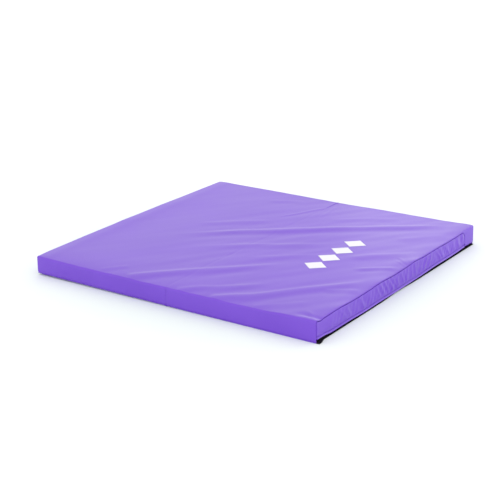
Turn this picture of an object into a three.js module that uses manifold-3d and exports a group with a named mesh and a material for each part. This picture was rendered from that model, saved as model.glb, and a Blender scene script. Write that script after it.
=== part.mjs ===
// Folding gym mat: two foam panels in a zipped cover, joined by a fold in the top sheet.
// Millimetres, +Z up. The origin is on the floor, at the middle of the open mat.
// X runs from the left panel to the right panel, and Y runs along the fold line.

import * as THREE from "three";
import { mergeVertices } from "three/addons/utils/BufferGeometryUtils.js";
import Module from "manifold-3d";

const wasm = await Module();
wasm.setup();

// The whole mat
const LENGTH = 1200; // X, across the fold
const WIDTH = 1140; // Y, along the fold
const THICKNESS = 76;

// Cover
const SHEET = 1; // coated fabric
const GAP = 0.3; // between pieces that touch
const SLIT = 1; // between the facing walls at the fold
const EDGE_RADIUS = 10; // where the top sheet turns down into the front and rear walls
const WEB_HALF = 12; // half the width of the strip that bends at the fold
const WELT = 8; // seam allowance turned round the front corner
const RETURN_FLANGE = 72; // end of the rear wall, turned round the rear corner
const HEM_Z = 9.4; // lower edge of the end band

// Foam
const ZIP_RECESS = 12; // room for the zip in the foam's lower outer edge
const ZIP_RECESS_Z = 20;

// Zip: the tapes stand upright in the recess, and the coils meet at ZIP_Z
const ZIP_SETBACK = 8; // from the end of the mat to the tapes' middle plane
const ZIP_Z = 5.6;
const TAPE = 0.6;
const TAPE_FLAT = 17; // part of the lower tape that lies on the base sheet
const TAPE_TOP_Z = 19;
const COIL_THICK = 2.2;
const COIL_HEIGHT = 1.6;
const COIL_GAP = 1.2; // the slider's post runs in it
const CLOSED_END = -556.3; // the coils' two ends, along Y
const OPEN_END = 539.7;
const STOP_LENGTH = 4.7;

// Slider and pull
const SLIDER_Y = -545; // closed, at the front corner
const SLIDER_LENGTH = 16;
const SHOULDER_HEIGHT = 6.8;
const TAIL_HEIGHT = 6;
const PLATE = 1.7;
const PLATE_SPACE = 2.8; // between the two plates
const ARCH_HEIGHT = 3.8;
const ARCH_LENGTH = 10;
const ARCH_WIDTH = 2.6;
const PULL_LENGTH = 35;
const PULL_WIDTH = 6;
const PULL_THICK = 1.4;

const X_END = LENGTH / 2;
const Y_END = WIDTH / 2;
const INNER_END = X_END - SHEET;
const INNER_WALL = Y_END - SHEET;
const INNER_TOP = THICKNESS - SHEET;
const ZIP_X = X_END - ZIP_SETBACK;
const BEYOND = 5; // how far a cutting shape runs past what it cuts
const ARC_STEPS = 8; // straight pieces in each quarter or half circle

// Materials, one new one for each mesh

function cover() {
  return new THREE.MeshStandardMaterial({ color: 0x7a3fe0, roughness: 0.42, metalness: 0 });
}

function foam() {
  return new THREE.MeshStandardMaterial({ color: 0xd9d4c4, roughness: 0.95, metalness: 0 });
}

function tapeCloth() {
  return new THREE.MeshStandardMaterial({ color: 0x17161a, roughness: 0.85, metalness: 0 });
}

function nylon() {
  return new THREE.MeshStandardMaterial({ color: 0x121114, roughness: 0.45, metalness: 0 });
}

function blackMetal() {
  return new THREE.MeshStandardMaterial({ color: 0x222226, roughness: 0.35, metalness: 0.8 });
}

// Shapes

function shapeOf(points) {
  return new THREE.Shape(points.map(([a, b]) => new THREE.Vector2(a, b)));
}

function extruded(shape, depth) {
  return new THREE.ExtrudeGeometry(shape, { depth, bevelEnabled: false, curveSegments: ARC_STEPS });
}

// Outline points are [y, z].
function alongX(shape, [from, to]) {
  const geometry = extruded(shape, to - from);
  const axes = [new THREE.Vector3(0, 1, 0), new THREE.Vector3(0, 0, 1), new THREE.Vector3(1, 0, 0)];
  return geometry.applyMatrix4(new THREE.Matrix4().makeBasis(...axes).setPosition(from, 0, 0));
}

// Outline points are [x, z].
function alongY(shape, [from, to]) {
  const geometry = extruded(shape, to - from);
  const axes = [new THREE.Vector3(1, 0, 0), new THREE.Vector3(0, 0, 1), new THREE.Vector3(0, -1, 0)];
  return geometry.applyMatrix4(new THREE.Matrix4().makeBasis(...axes).setPosition(0, to, 0));
}

function block([x0, x1], [y0, y1], [z0, z1]) {
  const geometry = new THREE.BoxGeometry(x1 - x0, y1 - y0, z1 - z0);
  return geometry.translate((x0 + x1) / 2, (y0 + y1) / 2, (z0 + z1) / 2);
}

// A distance from the fold line becomes an x on the chosen side: 1 is right and -1 is left.
function span(side, near, far) {
  return side > 0 ? [near, far] : [-far, -near];
}

function sided(side, points) {
  return shapeOf(points.map(([out, other]) => [side * out, other]));
}

// Joins and cuts

function solid(geometry) {
  const bare = geometry.clone();
  bare.deleteAttribute("normal");
  bare.deleteAttribute("uv");
  const merged = mergeVertices(bare, 1e-4);
  const mesh = new wasm.Mesh({
    numProp: 3,
    vertProperties: new Float32Array(merged.attributes.position.array),
    triVerts: new Uint32Array(merged.index.array),
  });
  return new wasm.Manifold(mesh);
}

function geometryOf(manifold) {
  const { vertProperties, triVerts } = manifold.getMesh();
  const geometry = new THREE.BufferGeometry();
  geometry.setAttribute("position", new THREE.BufferAttribute(vertProperties, 3));
  geometry.setIndex(new THREE.BufferAttribute(triVerts, 1));
  geometry.computeVertexNormals();
  return geometry;
}

function joined(first, ...others) {
  return geometryOf(others.reduce((sum, other) => sum.add(solid(other)), solid(first)));
}

function cut(body, ...tools) {
  return geometryOf(tools.reduce((rest, tool) => rest.subtract(solid(tool)), solid(body)));
}

function common(a, b) {
  return geometryOf(solid(a).intersect(solid(b)));
}

function named(name, geometry, material) {
  const mesh = new THREE.Mesh(geometry, material);
  mesh.name = name;
  return mesh;
}

// The cover's section across Y: flat bottom, straight walls and rounded top edges.
function sectionAcross(halfWidth, top, bottom, radius) {
  const shape = new THREE.Shape();
  shape.moveTo(-halfWidth, bottom);
  shape.lineTo(halfWidth, bottom);
  shape.lineTo(halfWidth, top - radius);
  shape.absarc(halfWidth - radius, top - radius, radius, 0, Math.PI / 2, false);
  shape.lineTo(radius - halfWidth, top);
  shape.absarc(radius - halfWidth, top - radius, radius, Math.PI / 2, Math.PI, false);
  return shape;
}

// Soft parts of one panel

// A slab of foam that fills the cover, with its top edges eased and room for the zip.
function foamCore(side) {
  const near = SLIT / 2 + SHEET + GAP;
  const far = INNER_END - GAP;
  const low = SHEET + GAP;
  const section = sectionAcross(INNER_WALL - GAP, INNER_TOP - GAP, low, EDGE_RADIUS - SHEET - GAP);
  const profile = sided(side, [
    [near, low],
    [ZIP_X - TAPE_FLAT, low],
    [ZIP_X - TAPE_FLAT, low + TAPE + GAP],
    [X_END - ZIP_RECESS, low + TAPE + GAP],
    [X_END - ZIP_RECESS, ZIP_RECESS_Z],
    [far, ZIP_RECESS_Z],
    [far, INNER_TOP],
    [near, INNER_TOP],
  ]);
  return common(alongX(section, span(side, near, far)), alongY(profile, [-Y_END, Y_END]));
}

// Top sheet, front wall and rear wall in one piece, open at the bottom. Its front edge turns
// a seam allowance round the corner, and its rear edge turns a wide flange.
function coverTop(side) {
  const near = SLIT / 2;
  const outside = sectionAcross(Y_END, THICKNESS, 0, EDGE_RADIUS);
  const inside = sectionAcross(INNER_WALL, INNER_TOP, -BEYOND, EDGE_RADIUS - SHEET);
  const endSpan = span(side, INNER_END - BEYOND, X_END + BEYOND);
  const window = block(endSpan, [WELT - Y_END, Y_END - RETURN_FLANGE], [-BEYOND, INNER_TOP]);
  const zipMouth = block(endSpan, [-INNER_WALL, INNER_WALL], [-BEYOND, HEM_Z]);
  const webSpan = span(side, near - BEYOND, WEB_HALF + GAP);
  const flatTop = [EDGE_RADIUS - Y_END, Y_END - EDGE_RADIUS];
  const webRoom = block(webSpan, flatTop, [INNER_TOP - GAP, THICKNESS + BEYOND]);
  return cut(
    alongX(outside, span(side, near, X_END)),
    alongX(inside, span(side, near - BEYOND, INNER_END)),
    window,
    zipMouth,
    webRoom,
  );
}

function baseSheet(side) {
  const edge = INNER_WALL - GAP;
  return block(span(side, SLIT / 2, ZIP_X + TAPE), [-edge, edge], [0, SHEET]);
}

// The wall that closes a panel at the fold. It faces the other panel's wall across the slit.
function foldWall(side) {
  const edge = INNER_WALL - GAP;
  const section = sectionAcross(edge, INNER_TOP - GAP, SHEET + GAP, EDGE_RADIUS - SHEET - GAP);
  return alongX(section, span(side, SLIT / 2, SLIT / 2 + SHEET));
}

function endBand(side) {
  const along = [WELT - Y_END + GAP, Y_END - RETURN_FLANGE - GAP];
  return block(span(side, INNER_END, X_END), along, [HEM_Z, INNER_TOP - GAP]);
}

// Zip

// From the coil the upper tape stands up, then slants out to lie behind the end band.
function upperTape(side) {
  const inner = ZIP_X - TAPE / 2;
  const outer = ZIP_X + TAPE / 2;
  const behindBand = INNER_END - GAP;
  const foot = ZIP_Z + COIL_GAP / 2 + COIL_HEIGHT + GAP;
  const bend = foot + 1;
  const slant = 2.6;
  const strip = sided(side, [
    [inner, foot],
    [outer, foot],
    [outer, bend],
    [behindBand, bend + slant],
    [behindBand, TAPE_TOP_Z],
    [behindBand - TAPE, TAPE_TOP_Z],
    [behindBand - TAPE, bend + slant + TAPE / 2],
    [inner, bend + TAPE],
  ]);
  return alongY(strip, [GAP - INNER_WALL, INNER_WALL - GAP]);
}

// The lower tape lies on the base sheet, then stands up to its coil.
function lowerTape(side) {
  const inner = ZIP_X - TAPE / 2;
  const outer = ZIP_X + TAPE / 2;
  const low = SHEET + GAP;
  const head = ZIP_Z - COIL_GAP / 2 - COIL_HEIGHT - GAP;
  const strip = sided(side, [
    [ZIP_X - TAPE_FLAT + GAP, low],
    [outer, low],
    [outer, head],
    [inner, head],
    [inner, low + TAPE],
    [ZIP_X - TAPE_FLAT + GAP, low + TAPE],
  ]);
  return alongY(strip, [GAP - INNER_WALL, INNER_WALL - GAP]);
}

// One side of the closed zip: level is 1 for the upper coil and -1 for the lower.
function coil(side, level) {
  const near = ZIP_Z + level * (COIL_GAP / 2);
  const far = near + level * COIL_HEIGHT;
  const across = span(side, ZIP_X - COIL_THICK / 2, ZIP_X + COIL_THICK / 2);
  return block(across, [CLOSED_END, OPEN_END], [Math.min(near, far), Math.max(near, far)]);
}

function stop(side, along) {
  const reach = COIL_GAP / 2 + COIL_HEIGHT;
  const across = span(side, ZIP_X - COIL_THICK / 2 - GAP, ZIP_X + COIL_THICK / 2 + GAP);
  return block(across, along, [ZIP_Z - reach, ZIP_Z + reach]);
}

// Two plates joined by a post at the wide end, with an arch on the outer plate for the pull.
function slider(side) {
  const half = SLIDER_LENGTH / 2;
  const outline = shapeOf([
    [SLIDER_Y - half, ZIP_Z - SHOULDER_HEIGHT / 2],
    [SLIDER_Y, ZIP_Z - SHOULDER_HEIGHT / 2],
    [SLIDER_Y + half, ZIP_Z - TAIL_HEIGHT / 2],
    [SLIDER_Y + half, ZIP_Z + TAIL_HEIGHT / 2],
    [SLIDER_Y, ZIP_Z + SHOULDER_HEIGHT / 2],
    [SLIDER_Y - half, ZIP_Z + SHOULDER_HEIGHT / 2],
  ]);
  const innerFace = ZIP_X - PLATE_SPACE / 2;
  const outerFace = ZIP_X + PLATE_SPACE / 2;
  const postHalf = COIL_GAP / 2 - GAP;
  const postLength = 4;
  const post = block(
    span(side, innerFace - PLATE / 2, outerFace + PLATE / 2),
    [SLIDER_Y - half + 1, SLIDER_Y - half + 1 + postLength],
    [ZIP_Z - postHalf, ZIP_Z + postHalf],
  );
  const leg = 1.5;
  const along = ARCH_LENGTH / 2;
  const archTop = outerFace + PLATE + ARCH_HEIGHT;
  const arch = cut(
    block(
      span(side, outerFace + PLATE / 2, archTop),
      [SLIDER_Y - along, SLIDER_Y + along],
      [ZIP_Z - ARCH_WIDTH / 2, ZIP_Z + ARCH_WIDTH / 2],
    ),
    block(
      span(side, outerFace + PLATE, archTop - SHEET),
      [SLIDER_Y - along + leg, SLIDER_Y + along - leg],
      [0, 2 * ZIP_Z],
    ),
  );
  return joined(
    alongX(outline, span(side, innerFace - PLATE, innerFace)),
    alongX(outline, span(side, outerFace, outerFace + PLATE)),
    post,
    arch,
  );
}

// A flat tab. Its cross bar sits in the slider's arch, and its window clears the arch's leg.
function pull(side) {
  const middle = ZIP_X + PLATE_SPACE / 2 + PLATE + (ARCH_HEIGHT - SHEET) / 2;
  const across = span(side, middle - PULL_THICK / 2, middle + PULL_THICK / 2);
  const half = PULL_WIDTH / 2;
  const bar = PULL_THICK / 2;
  const windowHalf = ARCH_WIDTH / 2 + 2 * GAP;
  const tip = SLIDER_Y + PULL_LENGTH;
  const tab = new THREE.Shape();
  tab.moveTo(SLIDER_Y - bar, ZIP_Z - half);
  tab.lineTo(tip - half, ZIP_Z - half);
  tab.absarc(tip - half, ZIP_Z, half, -Math.PI / 2, Math.PI / 2, false);
  tab.lineTo(SLIDER_Y - bar, ZIP_Z + half);
  tab.holes.push(shapeOf([
    [SLIDER_Y + bar, ZIP_Z - windowHalf],
    [SLIDER_Y + ARCH_LENGTH / 2 + 2, ZIP_Z - windowHalf],
    [SLIDER_Y + ARCH_LENGTH / 2 + 2, ZIP_Z + windowHalf],
    [SLIDER_Y + bar, ZIP_Z + windowHalf],
  ]));
  return alongX(tab, across);
}

// One panel with everything that belongs to it
function panel(side, label) {
  const group = new THREE.Group();
  const closedStop = [CLOSED_END - GAP - STOP_LENGTH, CLOSED_END - GAP];
  const openStop = [OPEN_END + GAP, OPEN_END + GAP + STOP_LENGTH];
  group.add(
    named(`foam_core_${label}`, foamCore(side), foam()),
    named(`cover_top_${label}`, coverTop(side), cover()),
    named(`base_sheet_${label}`, baseSheet(side), cover()),
    named(`fold_wall_${label}`, foldWall(side), cover()),
    named(`end_band_${label}`, endBand(side), cover()),
    named(`zip_tape_upper_${label}`, upperTape(side), tapeCloth()),
    named(`zip_tape_lower_${label}`, lowerTape(side), tapeCloth()),
    named(`zip_coil_upper_${label}`, coil(side, 1), nylon()),
    named(`zip_coil_lower_${label}`, coil(side, -1), nylon()),
    named(`zip_stop_closed_${label}`, stop(side, closedStop), blackMetal()),
    named(`zip_stop_open_${label}`, stop(side, openStop), blackMetal()),
    named(`zip_slider_${label}`, slider(side), blackMetal()),
    named(`zip_pull_${label}`, pull(side), blackMetal()),
  );
  return group;
}

// The strip of the top sheet that bends when the mat folds.
function foldWeb() {
  const edge = Y_END - EDGE_RADIUS - GAP;
  return block([-WEB_HALF, WEB_HALF], [-edge, edge], [INNER_TOP, THICKNESS]);
}

const mat = new THREE.Group();
mat.add(panel(1, "right"), panel(-1, "left"), named("fold_web", foldWeb(), cover()));

export default mat;
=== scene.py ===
"""Folding gym mat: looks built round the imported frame.

Shapes are worked out in millimetres, in the frame's axes, and piece() turns them into metres.
X runs across the fold, Y runs along it, and "out" is a distance from the fold line, |x|.
"""

import math

import bmesh
import bpy
import numpy as np
from mathutils import Matrix, Vector


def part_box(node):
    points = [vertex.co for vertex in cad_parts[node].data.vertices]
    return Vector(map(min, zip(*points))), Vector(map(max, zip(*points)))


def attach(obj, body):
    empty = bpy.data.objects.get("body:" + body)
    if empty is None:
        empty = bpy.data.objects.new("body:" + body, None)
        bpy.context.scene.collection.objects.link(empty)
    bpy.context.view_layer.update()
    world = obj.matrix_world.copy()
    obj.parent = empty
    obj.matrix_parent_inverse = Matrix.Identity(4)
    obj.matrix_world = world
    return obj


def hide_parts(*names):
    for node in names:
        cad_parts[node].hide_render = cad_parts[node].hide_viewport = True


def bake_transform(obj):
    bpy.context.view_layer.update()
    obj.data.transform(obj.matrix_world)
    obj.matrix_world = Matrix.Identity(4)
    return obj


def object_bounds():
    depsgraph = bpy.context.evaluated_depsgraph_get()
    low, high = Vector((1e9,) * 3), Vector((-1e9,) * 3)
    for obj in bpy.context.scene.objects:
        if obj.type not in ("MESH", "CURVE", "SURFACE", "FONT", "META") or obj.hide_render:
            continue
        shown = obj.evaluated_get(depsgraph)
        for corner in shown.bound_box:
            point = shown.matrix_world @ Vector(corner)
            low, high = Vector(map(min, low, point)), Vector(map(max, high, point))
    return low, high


MM = 0.001
SIDES = {"right": 1, "left": -1}

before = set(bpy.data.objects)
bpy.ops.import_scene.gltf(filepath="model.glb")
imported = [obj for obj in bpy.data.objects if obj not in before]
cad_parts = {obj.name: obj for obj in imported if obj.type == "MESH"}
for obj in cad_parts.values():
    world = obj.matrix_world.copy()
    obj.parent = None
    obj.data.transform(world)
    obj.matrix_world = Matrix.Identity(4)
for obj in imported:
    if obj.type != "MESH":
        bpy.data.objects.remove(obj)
cad_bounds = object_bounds()


def cad_box(node):
    """Lowest and highest corner of a CAD node, in millimetres."""
    low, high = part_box(node)
    return np.array(low) / MM, np.array(high) / MM


# -------- sizes

X_END, Y_END, TOP = (np.array(cad_bounds[1]) / MM).tolist()
SLIT_HALF = float(cad_box("fold_wall_right")[0][0])
FLANGE_Y = float(cad_box("end_band_right")[1][1])  # where the band meets the rear flange
COIL_LOW, COIL_HIGH = cad_box("zip_coil_upper_right")
ZIP_OUT = float(COIL_LOW[0] + COIL_HIGH[0]) / 2
ZIP_MID = float(cad_box("zip_coil_lower_right")[1][2] + COIL_LOW[2]) / 2

SHEET = 0.7  # coated fabric
SHOULDER = 6.5  # radius where the top turns into the front and rear walls
RIM = 1.8  # radius of the top sheet's edge over an end band
FLANGE_RIM = 2.4  # the same edge where the rear flange runs over it
FLANGE_CURVE = 27.0  # radius where the seam turns down at the rear flange
FLANGE_FOOT = 11.2  # where the rear flange ends, above the zip
HEM = 5.6  # width of the end bands' hem
BAND_HEIGHT = 66.0  # of an end band's face, about
SEAM_TURN = 1.5  # radius at each lip of a seam's groove
SEAM_TUCK = 4.5  # how far the groove runs in behind its lips
SEAM_GAP = 3.2  # between the two lips of the groove
FLAT_TOP = TOP - 0.2  # the sheet's level between wrinkles
BUTT = 0.15  # half the space between the panels' walls, which touch
STEP = 4.6  # of the cover's grid


# -------- mesh helpers


def piece(name, points, faces, material, body=None, smooth=True):
    """A mesh object from points in millimetres. Points that no face uses are dropped."""
    points = np.asarray(points, float).reshape(-1, 3)
    used = np.unique(np.concatenate([np.asarray(face) for face in faces]))
    new_index = np.zeros(len(points), int)
    new_index[used] = np.arange(len(used))
    mesh = bpy.data.meshes.new(name)
    mesh.from_pydata((points[used] * MM).tolist(), [], [new_index[list(face)].tolist() for face in faces])
    mesh.polygons.foreach_set("use_smooth", [smooth] * len(mesh.polygons))
    mesh.update()
    obj = bpy.data.objects.new(name, mesh)
    bpy.context.scene.collection.objects.link(obj)
    obj.data.materials.append(material)
    if body:
        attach(obj, body)
    return obj


def grid_faces(rows, columns, keep=None, flip=False):
    """Quads over a grid whose points are stored row by row. keep is a mask of rows-1 by columns-1."""
    index = np.arange(rows * columns).reshape(rows, columns)
    corners = [index[:-1, :-1], index[:-1, 1:], index[1:, 1:], index[1:, :-1]]
    if flip:
        corners.reverse()
    quads = np.stack(corners, axis=-1)
    return quads.reshape(-1, 4) if keep is None else quads[keep]


def thicken(obj, thickness, offset=-1.0):
    modifier = obj.modifiers.new("thickness", "SOLIDIFY")
    modifier.thickness = thickness * MM
    modifier.offset = offset


def round_edges(obj, width):
    modifier = obj.modifiers.new("edges", "BEVEL")
    modifier.width = width * MM
    modifier.segments = 2
    modifier.limit_method = "ANGLE"
    modifier.angle_limit = math.radians(35)
    modifier.harden_normals = True


def tube_points(centres, normals, binormals, radius, sides):
    """Rings of points round each centre. radius is a number, or an array of shape (rings, 1, 1)."""
    turn = np.linspace(0, 2 * math.pi, sides, endpoint=False)[None, :, None]
    ring = normals[:, None, :] * np.cos(turn) + binormals[:, None, :] * np.sin(turn)
    return centres[:, None, :] + ring * radius


def tube_faces(rings, sides):
    index = np.arange(rings * sides).reshape(rings, sides)
    after = np.roll(index, -1, axis=1)
    quads = np.stack([index[:-1], after[:-1], after[1:], index[1:]], axis=-1).reshape(-1, 4).tolist()
    return quads + [index[0][::-1].tolist(), index[-1].tolist()]


def extruded(outline, low, high, place):
    """Points and faces of a prism. place turns (a, b, depth) into a point."""
    points = [place(a, b, depth) for depth in (low, high) for a, b in outline]
    return points, tube_faces(2, len(outline))


def pierced(outline, hole, low, high, place):
    """A prism with one hole. Both outlines have the same number of points."""
    count = len(outline)
    loops = ((outline, low), (hole, low), (hole, high), (outline, high))
    points = [place(a, b, depth) for loop, depth in loops for a, b in loop]
    index = np.arange(4 * count).reshape(4, count)
    after = np.roll(index, -1, axis=1)
    quads = [index, after, np.roll(after, -1, axis=0), np.roll(index, -1, axis=0)]
    faces = np.stack(quads, axis=-1).reshape(-1, 4).tolist()
    return points, faces


def joined(parts):
    """One mesh's points and faces from several."""
    points, faces = [], []
    for part_points, part_faces in parts:
        start = len(points)
        points += list(part_points)
        faces += [[i + start for i in face] for face in part_faces]
    return points, faces


def panel_sheet(node, label, points, flip):
    """One of a panel's vinyl sheets, over a grid of points, in place of a CAD node."""
    faces = grid_faces(*points.shape[:2], flip=flip)
    sheet = piece(f"{node}_cover", points, faces, VINYL, f"{label}_panel")
    thicken(sheet, SHEET)
    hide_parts(node)


def rectangle(a, b):
    return [(-a, -b), (a, -b), (a, b), (-a, b)]


def facing_out(obj):
    """Turns every face outwards."""
    mesh = bmesh.new()
    mesh.from_mesh(obj.data)
    bmesh.ops.recalc_face_normals(mesh, faces=mesh.faces)
    mesh.to_mesh(obj.data)
    mesh.free()


def rounded(points, radius, steps=5):
    """An outline with each corner replaced by an arc."""
    points = [np.array(p, float) for p in points]
    out = []
    for before, corner, after in zip(points[-1:] + points[:-1], points, points[1:] + points[:1]):
        lengths = np.linalg.norm(before - corner), np.linalg.norm(after - corner)
        to_before, to_after = (before - corner) / lengths[0], (after - corner) / lengths[1]
        half = math.acos(np.clip(to_before @ to_after, -1, 1)) / 2
        cut = min(radius / math.tan(half), 0.45 * min(lengths))
        size = cut * math.tan(half)
        middle = (to_before + to_after) / np.linalg.norm(to_before + to_after)
        centre = corner + middle * size / math.sin(half)
        start, end = corner + to_before * cut - centre, corner + to_after * cut - centre
        first = math.atan2(start[1], start[0])
        sweep = (math.atan2(end[1], end[0]) - first + math.pi) % (2 * math.pi) - math.pi
        for a in first + sweep * np.arange(steps + 1) / steps:
            out.append((centre[0] + size * math.cos(a), centre[1] + size * math.sin(a)))
    return out


def travelled(path):
    """Distance along a path of points, at each point."""
    return np.concatenate([[0], np.cumsum(np.linalg.norm(np.diff(path, axis=0), axis=1))])


def spaced(start, stop, step):
    """Evenly spaced values from start to stop, about step apart."""
    return np.linspace(start, stop, max(2, int(round(abs(stop - start) / step)) + 1))


def smoothstep(low, high, value):
    t = np.clip((value - low) / (high - low), 0, 1)
    return t * t * (3 - 2 * t)


def quarter_round(t):
    """Falls away from 0 to 1 along a quarter circle, as t goes from 0 to 1."""
    return 1 - np.sqrt(np.clip(1 - t**2, 0, 1))


def bump(value, centre, width):
    return np.exp(-(((value - centre) / width) ** 2))


def crease(value, centre, width):
    """Like bump, but with a crest that is nearly sharp."""
    return np.exp(0.35 - np.sqrt(((value - centre) / width) ** 2 + 0.35**2))


# -------- wrinkles


def through(points):
    """A smooth curve of many points through a few given ones, by Catmull-Rom."""
    points = np.array(points, float)
    padded = np.vstack([2 * points[0] - points[1], points, 2 * points[-1] - points[-2]])
    spans = len(points) - 1
    u = np.linspace(0, spans, 120)
    span = np.minimum(u.astype(int), spans - 1)
    t = (u - span)[:, None]
    a, b, c, d = (padded[span + k] for k in range(4))
    return 0.5 * (2 * b + (c - a) * t + (2 * a - 5 * b + 4 * c - d) * t**2 + (3 * b - a - 3 * c + d) * t**3)


def ridge(x, y, path, height, width, fade_in):
    """A pulled fold in the sheet, with a hollow on its right. fade_in is the share over which it rises."""
    curve = through(path)
    heading = np.gradient(curve, axis=0)
    heading /= np.linalg.norm(heading, axis=1)[:, None]
    result = np.zeros(x.shape)
    reach = width * 4.5
    low, high = curve.min(axis=0) - reach, curve.max(axis=0) + reach
    near = (x > low[0]) & (x < high[0]) & (y > low[1]) & (y < high[1])
    spots = np.stack([x[near], y[near]], axis=-1)
    gap = spots[:, None, :] - curve[None, :, :]
    nearest = (gap**2).sum(axis=-1).argmin(axis=1)
    chosen = gap[np.arange(len(spots)), nearest]
    towards = heading[nearest]
    across = chosen[:, 0] * towards[:, 1] - chosen[:, 1] * towards[:, 0]
    beyond = np.abs((chosen * towards).sum(axis=1))
    along = nearest / (len(curve) - 1)
    taper = smoothstep(0, fade_in, along) * (1 - smoothstep(0.75, 1, along))
    taper *= np.exp(-((beyond / width) ** 2))
    spread = np.where(across > 0, width * 1.3, width * 0.7)
    crest = np.exp(-((across / spread) ** 2))
    hollow = 0.5 * bump(across, width * 2.1, width * 1.2)
    result[near] = height * taper * (crest - hollow)
    return result


def ripple(x, y, seed, wavelength, heading=0.0, stretch=1.0):
    """Gentle irregular unevenness, about 1 high, drawn out along heading (radians)."""
    random = np.random.default_rng(seed)
    waves = 14
    along = x * math.cos(heading) + y * math.sin(heading)
    across = y * math.cos(heading) - x * math.sin(heading)
    total = np.zeros(np.shape(x))
    for _ in range(waves):
        turn = random.uniform(0, 2 * math.pi)
        size = wavelength * random.uniform(0.6, 1.7)
        phase = random.uniform(0, 2 * math.pi)
        turned = along * math.cos(turn) / stretch + across * math.sin(turn)
        total = total + np.sin(2 * math.pi * turned / size + phase)
    return total / math.sqrt(waves)


PULL = math.atan2(0.8, 0.6)  # the way the long wrinkles run

# Path points are (x, y), then height and width.
TOP_WRINKLES = [
    ([(-330, -130), (-160, 20), (0, 140), (200, 290), (400, 430), (575, 545)], 2.3, 22),
    ([(-190, -560), (-110, -480), (-20, -400), (110, -285), (260, -140)], 2.2, 24),
    ([(40, -565), (100, -515), (170, -470), (320, -350)], 1.3, 20),
    ([(175, -568), (240, -520), (310, -470), (410, -350), (510, -240), (575, -160)], 2.4, 24),
    ([(370, -20), (430, 50), (490, 100), (590, 190)], 1.6, 24),
    ([(450, -100), (520, -45), (590, 0)], 1.3, 14),
    ([(-170, -200), (0, -65), (110, 0), (280, 120)], 1.1, 22),
    ([(-340, 30), (-200, 140), (-80, 225)], 0.8, 20),
    ([(-270, 430), (-190, 470), (-110, 505)], 0.5, 18),
    ([(-310, -550), (-230, -470)], 0.6, 14),
    ([(-110, 260), (-60, 350), (-30, 420), (5, 490)], 0.7, 8),
    ([(45, 350), (35, 430), (20, 520)], 0.6, 7),
    ([(420, 260), (500, 330), (580, 420)], 0.9, 26),
    ([(470, -330), (530, -290), (590, -260)], 1.0, 16),
    ([(350, -560), (430, -500), (500, -430)], 0.8, 20),
    ([(60, -200), (200, -90), (330, 10)], 0.8, 22),
    ([(-60, 60), (90, 190), (260, 330)], 0.8, 24),
    ([(80, 330), (200, 420), (330, 500)], 0.7, 20),
    ([(530, 98), (566, 70), (600, 40)], 0.7, 5),
    ([(540, 62), (572, 44), (600, 22)], 0.55, 4),
    ([(525, -500), (560, -528), (592, -560)], 0.9, 7),
]


# The end seam's swells and dips: y, height, width.
EDGE_WAVES = [(-440, 1.6, 60), (-300, -1.2, 70), (-155, 2.0, 42), (-30, -1.3, 50), (86, 3.2, 40),
              (230, 0.8, 60), (405, -1.3, 60)]


def edge_wave(y):
    """The end seam isn't straight: the top sheet is pulled up and down along it."""
    return sum(height * bump(y, centre, width) for centre, height, width in EDGE_WAVES)


def sunk(x, y):
    """How far the top has sunk along the front edge, where the foam is softest but for its right corner."""
    along = smoothstep(530, 340, x) * (1 - 0.4 * smoothstep(-380, -X_END, x))
    return 6.0 * along * np.exp(-np.clip(y + Y_END - SHOULDER, 0, None) / 60)


def top_height(x, y):
    """Height of the open mat's top sheet above the floor."""
    height = np.full(np.shape(x), FLAT_TOP)
    for path, rise, width in TOP_WRINKLES:
        height += ridge(x, y, path, rise, width, fade_in=0.06 if path[0][1] < -540 else 0.25)
    tension = smoothstep(-450, 150, x)
    height += (0.08 + 0.30 * tension) * ripple(x, y, 3, 90, PULL, 5)
    height += 0.35 * ripple(x, y, 4, 330)
    ripples = np.sin(y / 15.0 + 2 * np.sin(y / 47.0)) * bump(y, -140, 150)
    height -= (0.25 + 0.25 * ripples) * bump(x, 3 * np.sin(y / 40.0), 7)
    height -= 2.2 * bump(x, 40, 220) * smoothstep(300, Y_END, y)
    from_x = X_END - np.abs(x)
    height += 3.0 * bump(from_x, 0, 90) * bump(y, 0, 360) * (x < 0)
    height += (0.7 * bump(from_x, 42, 24) - 1.6 * np.exp(-from_x / 7.0)) * smoothstep(-Y_END, 20 - Y_END, y)
    wave = np.where(x > 0, edge_wave(y), 0.25 * edge_wave(-y))
    height += wave * bump(from_x, 0, 34)
    height += 2.4 * bump(from_x, 0, 60) * bump(y, Y_END, 70) * (x > 0)
    height += 1.6 * bump(y, 11 - Y_END, 7) * smoothstep(500, 560, x)
    height -= 1.8 * bump(y, 30 - Y_END, 11) * smoothstep(490, 560, x)
    return height - sunk(x, y)


def foot_lift(x):
    """How far the front wall's foot stands off the floor: the left panel's corner curls up."""
    return 1.3 * bump(x, 0, 260) + 7.5 * np.clip((90 - x) / (90 + X_END), 0, 1)


def base_lift(x, y):
    """The base sheet follows the front foot up, but stays down where the zip is."""
    reach = 60 - 52 * smoothstep(530, 575, np.abs(x))
    return foot_lift(x) * np.exp(-(Y_END + y) / reach)


def wall_bulge(x, z, seed):
    """How far a front or rear wall stands out of its plane."""
    soft = bump(z, TOP * 0.5, TOP * 0.42)
    folds = 0.35 * ripple(x, z, seed, 55, math.radians(70), 3) * smoothstep(200, X_END, np.abs(x))
    return soft * (0.5 + 0.45 * ripple(x, z * 2, seed + 1, 240) + folds)


# -------- materials


RAMP_SOCKETS = ("Value", "From Min", "From Max", "To Min", "To Max")


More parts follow.
